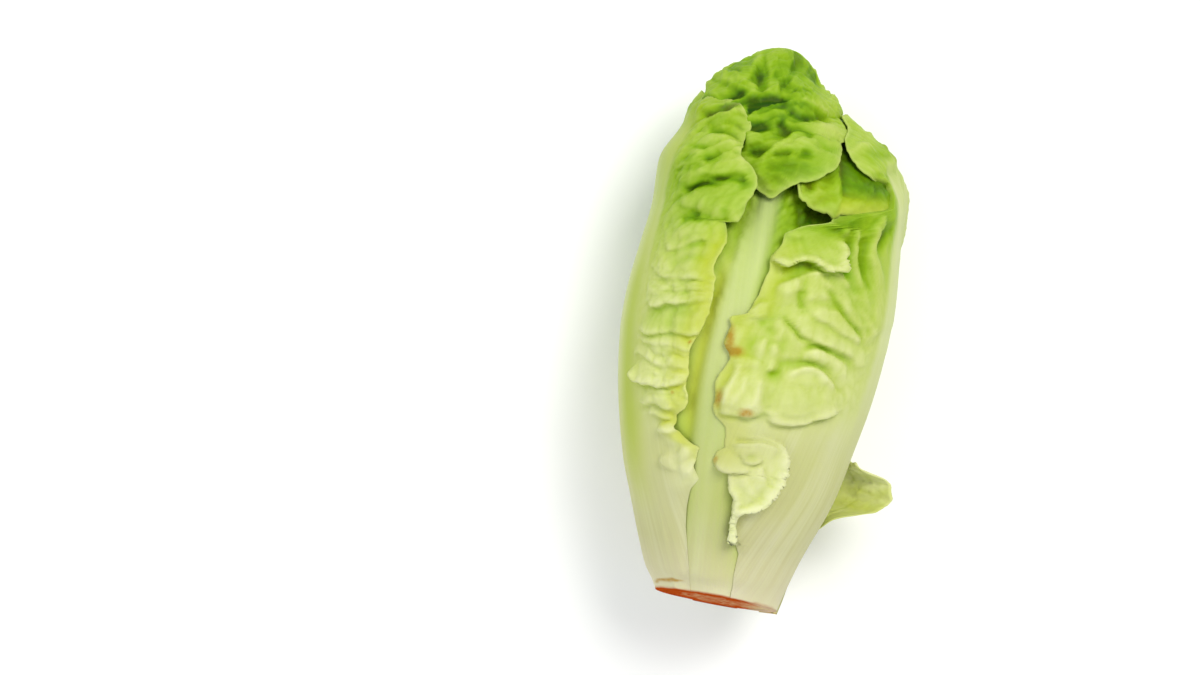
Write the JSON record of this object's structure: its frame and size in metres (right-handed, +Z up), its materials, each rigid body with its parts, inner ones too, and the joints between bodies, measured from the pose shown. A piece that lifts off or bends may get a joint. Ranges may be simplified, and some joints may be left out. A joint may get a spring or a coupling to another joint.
{
  "type": "romaine heart",
  "caption": "Trimmed romaine lettuce heart lying on its back: cut stem, pale midribs and waved leaves that fold over at the green crown.",
  "frame": {"origin": "middle of the bounding box in plan, on the surface that the heart lies on", "axes": "+Y from the cut stem to the crown, +X to the right seen from above with the crown away from the viewer, +Z up"},
  "size_m": [0.098, 0.183, 0.0836],
  "materials": {
    "outer_leaf": "satin",
    "inner_leaf": "satin",
    "stem": "matte"
  },
  "bodies": {
    "root": {"cut_stem": "stem", "inner_leaf_7": "inner_leaf", "inner_leaf_6": "inner_leaf", "inner_leaf_5": "inner_leaf", "inner_leaf_4": "inner_leaf", "inner_leaf_3": "inner_leaf", "inner_leaf_2": "inner_leaf", "inner_leaf_1": "inner_leaf", "middle_leaf": "outer_leaf", "inner_hood_leaf": "outer_leaf", "crown_leaf": "outer_leaf", "right_leaf": "outer_leaf", "left_leaf": "outer_leaf", "side_leaf": "outer_leaf"}
  },
  "joints": []
}
